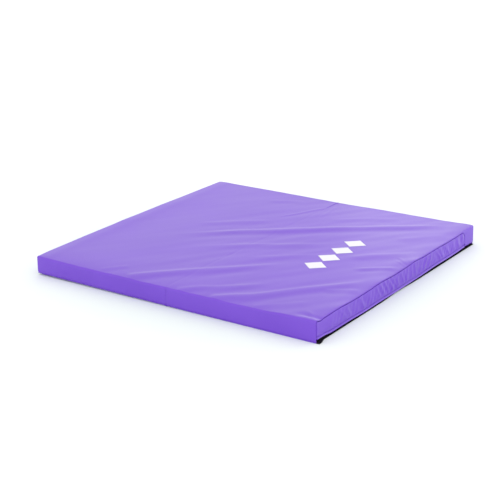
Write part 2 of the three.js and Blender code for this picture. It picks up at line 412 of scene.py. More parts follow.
class Nodes:
    """A short way to build a node tree. A material's textures lie in the object's own space."""

    def __init__(self, name, kind="materials", shader="Principled BSDF", space="Object"):
        self.owner = getattr(bpy.data, kind).new(name)
        self.owner.use_nodes = True
        self.tree = self.owner.node_tree
        self.shader = self.tree.nodes[shader]
        self.place = self.add("ShaderNodeTexCoord", {}, space)

    def feed(self, node, key, value):
        """Links a socket, or sets a plain value."""
        if isinstance(value, bpy.types.NodeSocket):
            self.tree.links.new(value, node.inputs[key])
        else:
            node.inputs[key].default_value = value

    def add(self, kind, values, output, **settings):
        """A new node, of which one output is given back."""
        node = self.tree.nodes.new(kind)
        for key, value in settings.items():
            setattr(node, key, value)
        for key, value in values.items():
            self.feed(node, key, value)
        return node.outputs[output]

    def stretched(self, scale):
        return self.add("ShaderNodeMapping", {"Vector": self.place, "Scale": scale}, "Vector")

    def noise(self, scale, detail=3.0, roughness=0.5, place=None):
        values = {"Vector": place or self.place, "Scale": scale, "Detail": detail, "Roughness": roughness}
        return self.add("ShaderNodeTexNoise", values, "Fac")

    def cells(self, scale, feature="F1"):
        values = {"Vector": self.place, "Scale": scale}
        return self.add("ShaderNodeTexVoronoi", values, "Distance", feature=feature)

    def waves(self, scale, direction, place=None):
        values = {"Vector": place or self.place, "Scale": scale}
        return self.add("ShaderNodeTexWave", values, "Fac", bands_direction=direction)

    def ramp(self, factor, low, high, low_value, high_value):
        values = dict(zip(RAMP_SOCKETS, (factor, low, high, low_value, high_value)))
        return self.add("ShaderNodeMapRange", values, "Result")

    def product(self, a, b):
        return self.add("ShaderNodeMath", {0: a, 1: b}, "Value", operation="MULTIPLY")

    def mix(self, factor, a, b):
        return self.add("ShaderNodeMix", {0: factor, 6: a, 7: b}, 2, data_type="RGBA")

    def bump(self, height, strength, distance, normal=None):
        """Distance is in millimetres."""
        values = {"Height": height, "Strength": strength, "Distance": distance * MM}
        if normal:
            values["Normal"] = normal
        return self.add("ShaderNodeBump", values, "Normal")

    def finish(self, color, roughness, normal=None, **plain):
        values = {"Base Color": color, "Roughness": roughness, **plain}
        if normal:
            values["Normal"] = normal
        for key, value in values.items():
            self.feed(self.shader, key.replace("_", " "), value)
        return self.owner


PURPLE = (0.146, 0.045, 0.52, 1)
PURPLE_LIGHT = (0.158, 0.052, 0.545, 1)
PURPLE_DEEP = (0.130, 0.038, 0.48, 1)
GRAIN_SCALE = 900.0  # cells in a metre of the vinyl's grain


def vinyl_material():
    """Coated fabric: a leather-like grain over a fine weave, with slight wear and handling marks."""
    n = Nodes("vinyl")
    clouds = n.noise(4.0, 4.0, 0.55)
    grain = n.cells(GRAIN_SCALE, "SMOOTH_F1")
    weave = n.product(n.waves(160.0, "X"), n.waves(160.0, "Y"))
    scuffs = n.noise(9.0, 6.0, 0.7, n.stretched((3, 11, 6)))
    base = n.mix(n.ramp(clouds, 0.35, 0.65, 0.0, 1.0), PURPLE, PURPLE_LIGHT)
    color = n.mix(n.ramp(scuffs, 0.55, 0.85, 0.0, 0.10), base, PURPLE_DEEP)
    roughness = n.ramp(clouds, 0.3, 0.7, 0.29, 0.33)
    normal = n.bump(n.noise(38.0, 5.0, 0.6), 0.06, 0.8)
    normal = n.bump(weave, 0.10, 0.10, normal)
    normal = n.bump(grain, 0.22, 0.10, normal)
    return n.finish(color, roughness, normal, IOR=1.5)


def foam_material():
    """Cut foam: fine open cells."""
    n = Nodes("foam")
    cells = n.cells(420.0)
    color = n.mix(n.noise(25.0, 4.0), (0.62, 0.58, 0.48, 1), (0.74, 0.71, 0.62, 1))
    return n.finish(color, 0.95, n.bump(cells, 0.6, 0.8), IOR=1.45)


def tape_material():
    """Woven polyester tape with a herringbone twill."""
    n = Nodes("zip_tape")
    twill = n.waves(420.0, "DIAGONAL", n.stretched((1, 1, 1.6)))
    fuzz = n.noise(1800.0, 2.0)
    color = n.mix(twill, (0.0022, 0.0012, 0.005, 1), (0.008, 0.006, 0.014, 1))
    normal = n.bump(fuzz, 0.3, 0.05, n.bump(twill, 0.6, 0.12))
    return n.finish(color, 0.92, normal, IOR=1.5, Specular_IOR_Level=0.12)


def nylon_material():
    """Moulded nylon monofilament."""
    n = Nodes("zip_coil")
    streaks = n.noise(700.0)
    color = n.mix(streaks, (0.003, 0.003, 0.005, 1), (0.010, 0.010, 0.014, 1))
    return n.finish(color, n.ramp(streaks, 0.3, 0.7, 0.30, 0.46), n.bump(streaks, 0.2, 0.05), IOR=1.53)


def enamel_material():
    """Black enamel on a die casting, rubbed through to grey metal in places."""
    n = Nodes("zip_metal")
    pits = n.noise(900.0, 4.0)
    rubbed = n.ramp(n.noise(260.0, 6.0, 0.7), 0.60, 0.70, 0.0, 1.0)
    color = n.mix(rubbed, (0.016, 0.016, 0.019, 1), (0.30, 0.30, 0.33, 1))
    roughness = n.ramp(rubbed, 0.0, 1.0, 0.32, 0.42)
    return n.finish(color, roughness, n.bump(pits, 0.25, 0.06), Metallic=0.6, IOR=1.5)


def thread_material():
    """Bonded polyester thread, twisted from plies."""
    n = Nodes("thread")
    plies = n.waves(700.0, "DIAGONAL")
    color = n.mix(plies, (0.13, 0.045, 0.50, 1), (0.21, 0.085, 0.66, 1))
    return n.finish(color, 0.6, n.bump(plies, 0.5, 0.08), IOR=1.5)


def print_material():
    """White screen ink, a little uneven where it lies on the grain."""
    n = Nodes("print")
    mottle = n.noise(60.0, 4.0)
    grain = n.cells(GRAIN_SCALE, "SMOOTH_F1")
    color = n.mix(mottle, (0.71, 0.70, 0.76, 1), (0.78, 0.77, 0.82, 1))
    return n.finish(color, n.ramp(mottle, 0.3, 0.7, 0.42, 0.55), n.bump(grain, 0.15, 0.08), IOR=1.5)


VINYL = vinyl_material()
FOAM = foam_material()
TAPE = tape_material()
NYLON = nylon_material()
ENAMEL = enamel_material()
THREAD = thread_material()
INK = print_material()


# -------- cover top


# Where a wall is sewn to the base sheet: how far in from the wall's face, z, and the normal's z.
FOOT_SEAM = [(3.0, 0.0, -0.95), (1.3, 0.1, -0.8), (0.5, 0.7, -0.3), (0.5, 1.5, 0.0), (1.2, 2.2, 0.0),
             (2.4, 2.7, 0.0), (2.4, 3.3, 0.0), (1.3, 4.2, 0.0), (0.6, 6.0, 0.0), (0.15, 9.0, 0.0)]


def section_rows():
    """The cover's outline across Y, from the front foot over the top to the rear foot.

    Each row is (y, z, normal y, normal z). All rows between the shoulders are flat top.
    """
    shoulder_y = Y_END - SHOULDER
    shoulder_z = FLAT_TOP - SHOULDER
    rows = [(inset - Y_END, z, -math.sqrt(1 - nz * nz), nz) for inset, z, nz in FOOT_SEAM]
    rows += [(-Y_END, z, -1, 0) for z in spaced(FOOT_SEAM[-1][1] + 6, shoulder_z, 6.5)]
    for a in np.radians([12, 26, 40, 54, 68, 80]):
        rows.append((-shoulder_y - SHOULDER * math.cos(a), shoulder_z + SHOULDER * math.sin(a),
                     -math.cos(a), math.sin(a)))
    curve_start, curve_end = FLANGE_Y - FLANGE_CURVE + 1, FLANGE_Y + 6
    top_y = np.concatenate([
        spaced(-shoulder_y, curve_start, STEP)[:-1],
        spaced(curve_start, curve_end, 1.6)[:-1],
        spaced(curve_end, shoulder_y, STEP),
    ])
    half = len(rows)
    rows += [(y, FLAT_TOP, 0, 1) for y in top_y]
    rows += [(-y, z, -ny, nz) for y, z, ny, nz in reversed(rows[:half])]
    return np.array(rows, float)


def fold_columns():
    """Distances from the fold line: close together at the crease, even further out."""
    close = [BUTT, BUTT + 0.2, BUTT + 0.45, BUTT + 1.1, 3.0, 6.0, 10.0]
    near_end = X_END - FLANGE_RIM - np.array([10, 7, 4, 2, 0])
    return np.concatenate([close, spaced(14, near_end[0] - 3, STEP), near_end])


def seam_drop(y):
    """How far the sheet hangs down the end face, for each row of the top."""
    full = FLAT_TOP - FLANGE_RIM - FLANGE_FOOT
    t = np.clip((y - (FLANGE_Y - FLANGE_CURVE)) / FLANGE_CURVE, 0, 1)
    return np.where(y >= FLANGE_Y + 0.5, full, FLANGE_CURVE * quarter_round(t))


def end_profile(radius, drop, reach, lapped):
    """The sheet's edge at an end, as (out, into the face, down the face) for a distance along it.

    It runs flat, round the rim, down the end by drop, and tucks into the seam. Where it is lapped,
    it runs on behind the rear flange.
    """
    lead = FLANGE_RIM - radius
    arc = radius * math.pi / 2
    on_rim = np.clip(reach - lead, 0, arc) / radius
    out = X_END - FLANGE_RIM + np.minimum(reach, lead) + radius * np.sin(on_rim)
    into = radius - radius * np.cos(on_rim)
    past = reach - lead - arc
    turn = np.clip((past - drop) / SEAM_TURN, 0, math.pi / 2)
    tucked = np.clip(past - drop - SEAM_TURN * math.pi / 2, 0, SEAM_TUCK)
    inwards = SEAM_TURN * (1 - np.cos(turn)) + tucked
    down = np.clip(past, 0, drop) + SEAM_TURN * np.sin(turn)
    down += SEAM_GAP / 2 * smoothstep(0, SEAM_TUCK, tucked) * (drop < FLANGE_CURVE + 1)
    beneath = np.clip(past, 0, None)
    out -= np.where(lapped, 1.0 * smoothstep(0, 1.4, beneath), inwards)
    return out, into, np.where(lapped, beneath, down)


def build_cover_top():
    """One sheet for both panels: the top, the front and rear walls, and the end rims and flanges."""
    rows = section_rows()
    flat = fold_columns()
    count = len(rows)
    y0, z0, ny, nz = (rows[:, i][:, None] for i in range(4))
    on_top = (nz == 1)
    rear_shoulder = (ny > 0) & (nz > 0)
    rear_wall = (ny > 0) & (nz <= 0)
    wider = smoothstep(FLANGE_Y - 14, FLANGE_Y + 12, np.where(on_top, y0, Y_END)) * (ny >= 0)
    radius = RIM + (FLANGE_RIM - RIM) * wider
    hanging = FLAT_TOP - FLANGE_RIM - FLANGE_FOOT - SHOULDER * (1 - nz) * 0.5
    drop = np.where(on_top, seam_drop(y0), np.where(rear_shoulder, hanging, 0.0))

    # Past the flat columns come those of the rim, of the end face and of the tuck into the seam.
    rim, end, tuck = (np.linspace(0, 1, steps)[None, 1:] for steps in (7, 12, 6))
    over_rim = (FLANGE_RIM - radius) + radius * math.pi / 2
    reach = np.hstack([over_rim * rim, over_rim + drop * end,
                       over_rim + drop + (SEAM_TURN * math.pi / 2 + SEAM_TUCK) * tuck])
    out_end, into_end, down_end = end_profile(radius, drop, reach, rear_wall)
    valley = 0.8 * rear_shoulder * ny**6 + 0.5 * on_top * bump(y0, FLANGE_Y + 0.5, 1.2)
    out = np.hstack([np.tile(flat, (count, 1)), out_end - smoothstep(2, 10, down_end) * valley])
    into, down = (np.pad(a, ((0, 0), (len(flat), 0))) for a in (into_end, down_end))
    per_side = out.shape[1]
    drop_y = np.where(rear_shoulder, 0.0, -ny)
    drop_z = np.where(rear_shoulder, -1.0, -nz)
    level_y = np.clip(y0, SHOULDER - Y_END, Y_END - SHOULDER)

    def half(side):
        proud = 1.6 * smoothstep(FLANGE_Y - 20, Y_END, y0)
        if side < 0:
            proud -= 1.2 * smoothstep(60 - Y_END, -Y_END, y0) * smoothstep(0, TOP, z0)
        x = side * (out + proud * smoothstep(X_END - 30, X_END, out))
        y = y0 - ny * into + drop_y * down
        z = z0 - nz * into + drop_z * down
        flat_x = side * np.minimum(out, X_END - 0.5)
        z += (top_height(flat_x, level_y + 0 * x) - FLAT_TOP) * np.clip(nz, 0, 1) * np.exp(-down / 14.0)
        push = wall_bulge(x, z0 + 0 * x, 21 if side > 0 else 31) * np.abs(ny) * (nz >= 0)
        y += ny * push * smoothstep(0, 30, X_END - out) * smoothstep(0, 12, out)
        low = 1 - smoothstep(0, 46, z0 + 0 * x)
        z += foot_lift(x) * low * ((ny < 0) & (nz <= 0))
        z -= sunk(x, y0) * (1 - np.clip(nz, 0, 1)) * smoothstep(15, FLAT_TOP - SHOULDER, z0)
        roll = 0.6 * quarter_round(np.clip(1 - (out - BUTT) / 0.6, 0, 1)) * smoothstep(0, 0.5, np.abs(ny))
        return np.stack([x, y - ny * roll, z - nz * roll * (nz < 1)], axis=-1)

    right, left = half(1), half(-1)
    middle = np.stack([0 * y0, y0, top_height(0 * y0, level_y)], axis=-1)
    points = np.concatenate([left[:, ::-1], middle, right], axis=1)

    keep = np.ones((count - 1, 2 * per_side), bool)
    whole = on_top[:-1, 0] & on_top[1:, 0]
    keep[~whole, per_side - 1:per_side + 1] = False
    last_shoulder = np.flatnonzero((rows[:-1, 2] > 0) & (rows[:-1, 3] > 0) & (rows[1:, 3] <= 0))
    rear_low = np.flatnonzero((rows[:-1, 2] > 0) & (rows[1:, 1] < FLANGE_FOOT - 1))
    for cut_rows, past in ((last_shoulder, len(flat) + rim.size), (rear_low, len(flat))):
        keep[cut_rows, per_side + past:] = False
        keep[cut_rows, :per_side - past] = False
    cover = piece("cover_top", points, grid_faces(*points.shape[:2], keep), VINYL)
    thicken(cover, SHEET)
    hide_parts("cover_top_right", "cover_top_left", "fold_web")
    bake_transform(cover)


# -------- end bands

# Puckers in an end band: y at its middle, how far its foot leans along Y, height, width.
PUCKERS = [
    (-480, 10, 0.6, 20), (-402, 58, 1.0, 12), (-372, 52, 1.0, 10), (-350, 50, -0.7, 14), (-284, 42, 1.9, 10),
    (-262, 40, -0.9, 14), (-230, 45, 0.6, 14), (-205, 45, -0.8, 10), (-168, 44, 1.3, 8), (-142, 58, 1.9, 9),
    (-126, 45, -0.8, 7), (-113, 36, 1.8, 7), (-84, 56, 1.9, 8), (-68, 52, -0.7, 6), (-57, 48, 1.6, 7),
    (-40, 44, 1.4, 7), (-22, 40, -0.7, 6), (0, 34, 1.3, 8), (24, 22, 1.1, 7), (48, 8, -0.6, 8),
    (70, 4, 0.8, 8), (95, 0, 1.6, 8), (118, -10, -0.6, 9), (142, -20, 0.7, 8), (172, -32, 1.6, 8),
    (188, -30, -0.8, 7), (206, -30, 1.4, 7), (232, 0, -0.5, 9), (276, 54, 1.7, 9), (299, 54, 1.5, 8),
    (318, 56, -0.9, 8), (345, 58, 1.4, 9), (372, 40, -0.6, 10), (400, 40, 0.7, 10), (437, 48, 1.5, 11),
    (462, 30, -0.8, 8), (480, 24, 1.0, 8),
]


def lip_z(y):
    """Lower edge of an end band: lifted over the parked slider and at the rear flange."""
    rest = 5.6 + 3.0 * smoothstep(60, 260, y) + 2.2 * smoothstep(-260, -400, y)
    ends = 4.8 * smoothstep(-470, -535, y) + 2.0 * smoothstep(430, 490, y)
    return rest + ends + 0.4 * np.sin(y / 33.0) * smoothstep(-400, -300, y)


def band_out(y, z, mirrored):
    """How far the band's surface stands from the fold line."""
    shift = 60 if mirrored else 0
    rise = (z - lip_z(y)) / (FLAT_TOP - 4 - lip_z(y))
    sewn = smoothstep(0.12, 0.34, rise) * (0.35 + 0.65 * smoothstep(1.0, 0.72, rise))
    folds = np.zeros(np.shape(y))
    for middle_y, lean, height, width in PUCKERS:
        if mirrored:
            middle_y = -60 - middle_y * 0.97
            lean = -lean * 0.8
        centre = middle_y + lean * (0.55 - rise) + 3 * np.sin(rise * 5 + middle_y)
        from_top = math.sin(middle_y) > 0
        fade = smoothstep(0.05, 0.75, rise if from_top else 1.05 - rise)
        shape = crease(y, centre, width * 0.6) - 0.4 * bump(y, centre - 1.9 * width, width * 1.3)
        folds += height * (0.52 + 0.85 * fade) * shape
    folds += 0.45 * ripple(y, z, 43 + shift, 26, math.radians(72), 3.5) * smoothstep(-520, -380, y)
    drift = 0.6 * ripple(y, z * 2, 41 + shift, 170)
    return X_END - 0.4 + sewn * (folds + drift + 0.8)


def band_grid(side):
    """(y, z) over an end band, and how far each point is from the nearest sewn edge."""
    front = RIM + SEAM_TURN + SEAM_GAP - Y_END
    rear_end = FLANGE_Y - SEAM_TURN - SEAM_GAP
    edge = np.array([0, 0.15, 0.45, 0.85, 1.3, 2.4])
    bend = FLANGE_Y - FLANGE_CURVE - 3
    along = np.concatenate([front + edge, spaced(front + 5, bend - 2, 2.6), spaced(bend, rear_end, 1.6)])
    hem = np.array([0, 0.6, 1.5, 2.8, 4.0, 4.8, 5.4, 6.0, 6.9, 8.6])
    face = np.linspace(12, BAND_HEIGHT - 5, 18)
    across = np.concatenate([hem, face, BAND_HEIGHT - edge[::-1]]) / BAND_HEIGHT
    y, share = np.meshgrid(along, across, indexing="ij")
    top_z = top_height(np.full_like(y, side * (X_END - 0.5)), y) - RIM - SEAM_TURN - SEAM_GAP
    low = lip_z(y)
    z = low + share * (top_z - low)
    turn_z = FLAT_TOP - FLANGE_RIM - FLANGE_CURVE
    rear = rear_end - FLANGE_CURVE * quarter_round(np.clip((z - turn_z) / FLANGE_CURVE, 0, 1))
    y = np.where(y > bend, bend + (y - bend) / (rear_end - bend) * (rear - bend), y)
    to_edge = np.minimum(np.minimum(top_z - z, y - front), np.abs(rear - y))
    return y, z, np.clip(to_edge, 0, None)


def build_end_band(label):
    side = SIDES[label]
    y, z, to_edge = band_grid(side)
    out = band_out(y, z, side < 0)
    out -= SEAM_TURN * quarter_round(1 - np.clip(to_edge / SEAM_TURN, 0, 1))
    above_lip = z - lip_z(y)
    out -= 2.6 * bump(above_lip, HEM, 1.3)
    out += 2.3 * smoothstep(HEM - 0.6, 1.0, above_lip)

    # The front and top edges go on into the groove and meet the cover there. The rear edge runs on
    # behind the cover's flange.
    out += 0.3 * smoothstep(FLANGE_Y - 40, FLANGE_Y, y)
    y, z, out = (np.pad(a, ((1, 1), (0, 1)), mode="edge") for a in (y, z, out))
    out[0] -= SEAM_TUCK
    y[0] -= SEAM_GAP * 0.7
    out[1:-1, -1] -= SEAM_TUCK
    z[:-1, -1] += SEAM_GAP * 0.7
    out[-1] = np.minimum(out[-1], X_END - 2.2)
    y[-1] += 7

    # The hem's inner layer, turned up behind its outer one.
    turned_up = [(-0.35, -0.4), (-1.15, -0.4), (-1.5, 0.2), (-1.9, 3.0), (-2.9, 6.2)]
    inner = [np.stack([side * (out[:, 0] + step_out), y[:, 0], z[:, 0] + step_up], axis=-1)
             for step_out, step_up in reversed(turned_up)]
    points = np.concatenate([np.stack(inner, axis=1), np.stack([side * out, y, z], axis=-1)], axis=1)
    panel_sheet(f"end_band_{label}", label, points, side < 0)


# -------- base sheets and fold walls


def build_base_sheet(label):
    side = SIDES[label]
    out = np.concatenate([[SLIT_HALF, SLIT_HALF + 1, SLIT_HALF + 3], spaced(12, ZIP_OUT - 2, 12)])
    y = np.concatenate([[2.5 - Y_END, 4 - Y_END], spaced(8 - Y_END, Y_END - 8, 12), [Y_END - 4, Y_END - 2.5]])
    grid_y, grid_out = np.meshgrid(y, out, indexing="ij")
    x = side * grid_out
    dents = np.clip(ripple(x, grid_y, 51, 90, 0.4, 2), 0, None) * 0.35
    inside = smoothstep(0, 40, Y_END - np.abs(grid_y)) * smoothstep(0, 40, grid_out)
    z = SHEET + base_lift(x, grid_y) + dents * inside
    panel_sheet(f"base_sheet_{label}", label, np.stack([x, grid_y, z], axis=-1), side < 0)


def build_fold_wall(label):
    """Faces the other panel's wall, so nothing stands proud of the slit's plane."""
    side = SIDES[label]
    y_edge = np.array([0.9, 1.6, 3])
    y = np.concatenate([y_edge - Y_END, spaced(8 - Y_END, Y_END - 8, 5), Y_END - y_edge[::-1]])
    z = np.concatenate([[0.4, 1.2, 2.6], spaced(6, TOP - 9, 4), TOP - np.array([5.5, 3.6, 2.4, 1.6])])
    grid_y, grid_z = np.meshgrid(y, z, indexing="ij")
    from_end = np.minimum(Y_END - np.abs(grid_y), 8)
    from_edge = np.minimum(np.minimum(from_end, grid_z), TOP - grid_z)
    shoulder = np.clip(1 - (Y_END - np.abs(grid_y)) / SHOULDER, 0, 1)
    ceiling = FLAT_TOP - 2.0 - SHOULDER * quarter_round(shoulder) - sunk(0, grid_y)
    grid_z = np.minimum(grid_z, ceiling)
    folds = np.clip(ripple(grid_y, grid_z, 61 + side, 42, math.radians(80), 2.5), -1, 1.4)
    slack = (1.4 + folds) * 0.9 * smoothstep(2, 20, from_edge + 12 * smoothstep(5, 30, grid_z))
    slack *= smoothstep(0, 16, grid_z) * smoothstep(0, 12, TOP - grid_z)
    out = BUTT + 0.55 + np.clip(slack, 0, 3) * 0.55 + 1.4 * bump(from_edge, 0, 1.2)
    panel_sheet(f"fold_wall_{label}", label, np.stack([side * out, grid_y, grid_z], axis=-1), side > 0)


# -------- foam


def divided(outline, step):
    """A closed outline with points added so that none are further apart than step."""
    out = []
    for start, end in zip(np.array(outline), np.roll(outline, -1, axis=0)):
        pieces = max(1, math.ceil(np.linalg.norm(end - start) / step))
        out += [start + (end - start) * k / pieces for k in range(pieces)]
    return np.array(out)


def build_foam(label):
    """A cut slab, a little soft at its edges, with its lower outer edge cut away for the zip."""
    side = SIDES[label]
    low, high = cad_box(f"foam_core_{label}")
    near, far = sorted((abs(low[0]), abs(high[0])))
    near, far = near + 2.5, far - 5.5
    half_y = high[1] - 3.0
    bottom, top = low[2] + 1.5, high[2] - 3.0
    notch_out, notch_top = ZIP_OUT - 5, ZIP_MID + 15
    corners = [(near, bottom), (notch_out, bottom), (notch_out, notch_top), (far, notch_top + 5),
               (far, top), (near, top)]
    section = divided(rounded(corners, 3.0, 4), 24)
    middle = section.mean(axis=0)
    front = np.array([0, 0.6, 2.5, 7.0]) - half_y
    y = np.concatenate([front, spaced(14 - half_y, half_y - 14, 24), -front[2::-1]])
    inset = 2.2 * np.clip(1 - (half_y - np.abs(y)) / 2.5, 0, 1) ** 2
    towards_middle = (middle - section) / np.linalg.norm(middle - section, axis=1)[:, None]
    rings = section[None] + inset[:, None, None] * towards_middle[None]
    x = side * rings[..., 0]
    along = y[:, None] + 0 * x
    lumps = 0.25 * ripple(section[None, :, 0] + 0 * x, along, 71, 70)
    level = rings[..., 1] + lumps - sunk(x, along) * smoothstep(15, top, rings[..., 1])
    level = np.maximum(level, base_lift(x, along) + 2.2)
    points = np.stack([x, along, level], axis=-1)
    faces = tube_faces(len(y), len(section))
    block = piece(f"foam_slab_{label}", points, faces, FOAM, f"{label}_panel")
    facing_out(block)
    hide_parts(f"foam_core_{label}")


# -------- zips


COIL_PITCH = 2.6
COIL_STEPS = 8  # points in each loop
FILAMENT = 0.36  # the coil's monofilament, its radius
PLATE = 1.5  # thickness of a slider's plates
CHAIN_ROOM = 3.0  # between the plates


def build_tape(label, level, profile, y, flare):
    """A band along Y. profile is [(step out from the zip, z), ...], and flare pushes its free edge out."""
    profile = np.array(profile, float)
    free = np.clip((profile[:, 0] - 2) / 9, 0, 1)[None, :] * flare[:, None]
    out = ZIP_OUT + profile[None, :, 0] + free
    points = np.stack([SIDES[label] * out, y[:, None] + 0 * out, profile[None, :, 1] + 0.04 * free], axis=-1)
    name = f"zip_tape_{level}_{label}"
    faces = grid_faces(len(y), len(profile), flip=SIDES[label] < 0)
    tape = piece(f"{name}_weave", points, faces, TAPE, f"{label}_panel")
    thicken(tape, 0.5, 0.0)
    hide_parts(name)


def build_tapes(label):
    """The lower tape lies out on the floor. Its free edge runs past the band's face, so its black is both the
    tape and a dark strip put where there is only shade under the band's lip. On the right panel it starts
    with a wider tail, which carries that stand-in shade out under the front corner.
    """
    has_tail = label == "right"
    start = (2 if has_tail else 21) - Y_END
    y = np.concatenate([spaced(start, 50 - Y_END, 4)[:-1], spaced(50 - Y_END, Y_END - 0.8, 12)])
    # The tail pushes the black tape further out at the front corner, where there is only shade.
    tail = 9.0 * smoothstep(46 - Y_END, 12 - Y_END, y) * has_tail - 6.0 * bump(y, -25, 70)
    upper = [(0, 1.9), (0, 3.4), (1.6, 4.6), (4.0, 5.6), (5.0, 7.2), (5.2, 13)]
    upper = [(out, ZIP_MID + rise) for out, rise in upper]
    # The outer steps reach past the band's face: black tape put where there is only shade under the lip.
    lower = [(-17, 1.1), (-2, 0.5), (10.5, 0.4), (11.6, 0.9), (11.0, 1.7), (3.0, 2.2), (0.3, 1.7), (0, 2.3),
             (0, ZIP_MID - 1.9)]
    build_tape(label, "upper", upper, y, 0 * y)
    build_tape(label, "lower", lower, y, tail)


def build_coil(label, name):
    """One monofilament wound into flattened loops, which mesh with the other coil's."""
    side = SIDES[label]
    level, phase = {"upper": (1, 0.5), "lower": (-1, 0.0)}[name]
    node = f"zip_coil_{name}_{label}"
    low, high = cad_box(node)
    turns = int((high[1] - low[1]) / COIL_PITCH)
    t = np.arange(turns * COIL_STEPS + 1) / COIL_STEPS
    angle = 2 * math.pi * (t + phase)
    head, far = ZIP_MID + level * 0.30, ZIP_MID + level * 2.5
    out = side * (ZIP_OUT + 0.62 * np.sin(angle))
    along = low[1] + 0.6 + t * COIL_PITCH + 0.35 * np.sin(2 * angle)
    z = (head + far) / 2 + (head - far) / 2 * np.cos(angle)
    centres = np.stack([out, along, z], axis=-1)
    tangent = np.gradient(centres, axis=0)
    tangent /= np.linalg.norm(tangent, axis=1)[:, None]
    normal = np.cross(tangent, np.array([0, 1.0, 0]))
    normal /= np.linalg.norm(normal, axis=1)[:, None]
    points = tube_points(centres, normal, np.cross(tangent, normal), FILAMENT, 5)
    faces = tube_faces(len(centres), 5)
    coil = piece(f"{node}_loops", points, faces, NYLON, f"{label}_panel")
    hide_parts(node)


def zip_box(node):
    """A node's nearest and furthest distance out, lowest and highest y, and half its height."""
    low, high = cad_box(node)
    inner, outer = sorted((abs(low[0]), abs(high[0])))
    return inner, outer, low[1], high[1], (high[2] - low[2]) / 2


def at_side(side):
    """Turns (y, z, distance out) into a point."""
    return lambda y, z, out: (side * out, y, z)


def round_middle(widths):
    """An outline of (y, z) points on both sides of the zip's middle, from (y, half width) pairs."""
    return [(y, ZIP_MID - half) for y, half in widths] + [(y, ZIP_MID + half) for y, half in reversed(widths)]


def build_slider(label):
    """Two plates with rolled-in flanges, the post between them and the arch that holds the pull."""
    side = SIDES[label]
    name = f"zip_slider_{label}"
    inner, outer, front, rear, wide = zip_box(name)
    mid_y = (front + rear) / 2
    slim = wide * 0.86
    far_plate = inner + PLATE + CHAIN_ROOM
    on_side = at_side(side)
    outline = rounded(round_middle([(front, wide * 0.9), (mid_y - 1, wide), (rear, slim)]), 1.3)
    parts = [extruded(outline, inner + 0.1, inner + 0.1 + PLATE, on_side),
             extruded(outline, far_plate, far_plate + PLATE, on_side)]
    for level in (-1, 1):
        edge = ZIP_MID + level * (wide - 0.35)
        tail = ZIP_MID + level * (slim - 0.35)
        flange = [(mid_y + 0.5, edge - 0.3), (rear - 0.6, tail - 0.3), (rear - 0.6, tail + 0.3),
                  (mid_y + 0.5, edge + 0.3)]
        parts.append(extruded(flange, inner + PLATE - 0.1, inner + PLATE + 0.8, on_side))
        parts.append(extruded(flange, far_plate - 0.8, far_plate + 0.1, on_side))
    post = rounded(round_middle([(front + 0.8, 0.2), (front + 4.6, 0.2)]), 0.1, 2)
    parts.append(extruded(post, inner + PLATE - 0.1, far_plate + 0.1, on_side))

    face = far_plate + PLATE - 0.2
    crown = outer - face

    def bow(reach, height, squareness):
        return [(mid_y - reach * math.cos(a), face + height * min(1.0, squareness * math.sin(a)))
                for a in np.radians(np.linspace(0, 180, 19))]

    arch = bow(5.0, crown, 1.25) + bow(3.7, crown - 1.05, 1.3)[::-1]
    parts.append(extruded(arch, ZIP_MID - 1.15, ZIP_MID + 1.15, lambda y, out, z: (side * out, y, z)))
    points, faces = joined(parts)
    slider = piece(f"{name}_casting", points, faces, ENAMEL, f"{label}_slider", False)
    facing_out(slider)
    round_edges(slider, 0.22)
    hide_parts(name)


def by_angle(loop, centre):
    """64 points of a convex loop, at evenly spaced angles round centre."""
    loop = np.array(loop + [loop[0]], float)
    along = travelled(loop)
    at = np.linspace(0, along[-1], 720, endpoint=False)
    y, z = (np.interp(at, along, loop[:, k]) for k in range(2))
    angles = np.arctan2(z - centre[1], y - centre[0])
    order = np.argsort(angles)
    wanted = np.linspace(-math.pi, math.pi, 64, endpoint=False)
    turned = (np.interp(wanted, angles[order], values[order], period=2 * math.pi) for values in (y, z))
    return list(zip(*turned))


def build_pull(label):
    """A flat tab with a raised border, a window for the arch and a hole near its tip."""
    inner, outer, hinge, tip, half = zip_box(f"zip_pull_{label}")
    on_side = at_side(SIDES[label])
    split = hinge + 13.0
    centre = (hinge + 5.0, ZIP_MID)
    yoke = by_angle(rounded(round_middle([(hinge, half), (split, half)]), 0.9), centre)
    window = by_angle(rounded(round_middle([(hinge + 1.45, 1.75), (hinge + 8.2, 1.75)]), 0.7), centre)
    eye_centre = (tip - 5.0, ZIP_MID)
    tab = by_angle(rounded(round_middle([(split - 1.0, half * 0.82), (tip, half)]), 2.4, 8), eye_centre)
    eye = by_angle([(eye_centre[0] + 1.3 * math.cos(a), eye_centre[1] + 1.3 * math.sin(a))
                    for a in np.linspace(0, 2 * math.pi, 48, endpoint=False)], eye_centre)
    border = rounded(round_middle([(split + 1.0, half * 0.55), (tip - 8.4, half * 0.62)]), 0.8)
    points, faces = joined([
        pierced(yoke, window, inner + 0.1, outer - 0.1, on_side),
        pierced(tab, eye, inner + 0.22, outer - 0.22, on_side),
        extruded(border, inner + 0.02, outer - 0.02, on_side),
    ])
    pull = piece(f"zip_pull_{label}_tab", points, faces, ENAMEL, f"{label}_pull", False)
    facing_out(pull)
    round_edges(pull, 0.16)
    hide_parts(f"zip_pull_{label}")


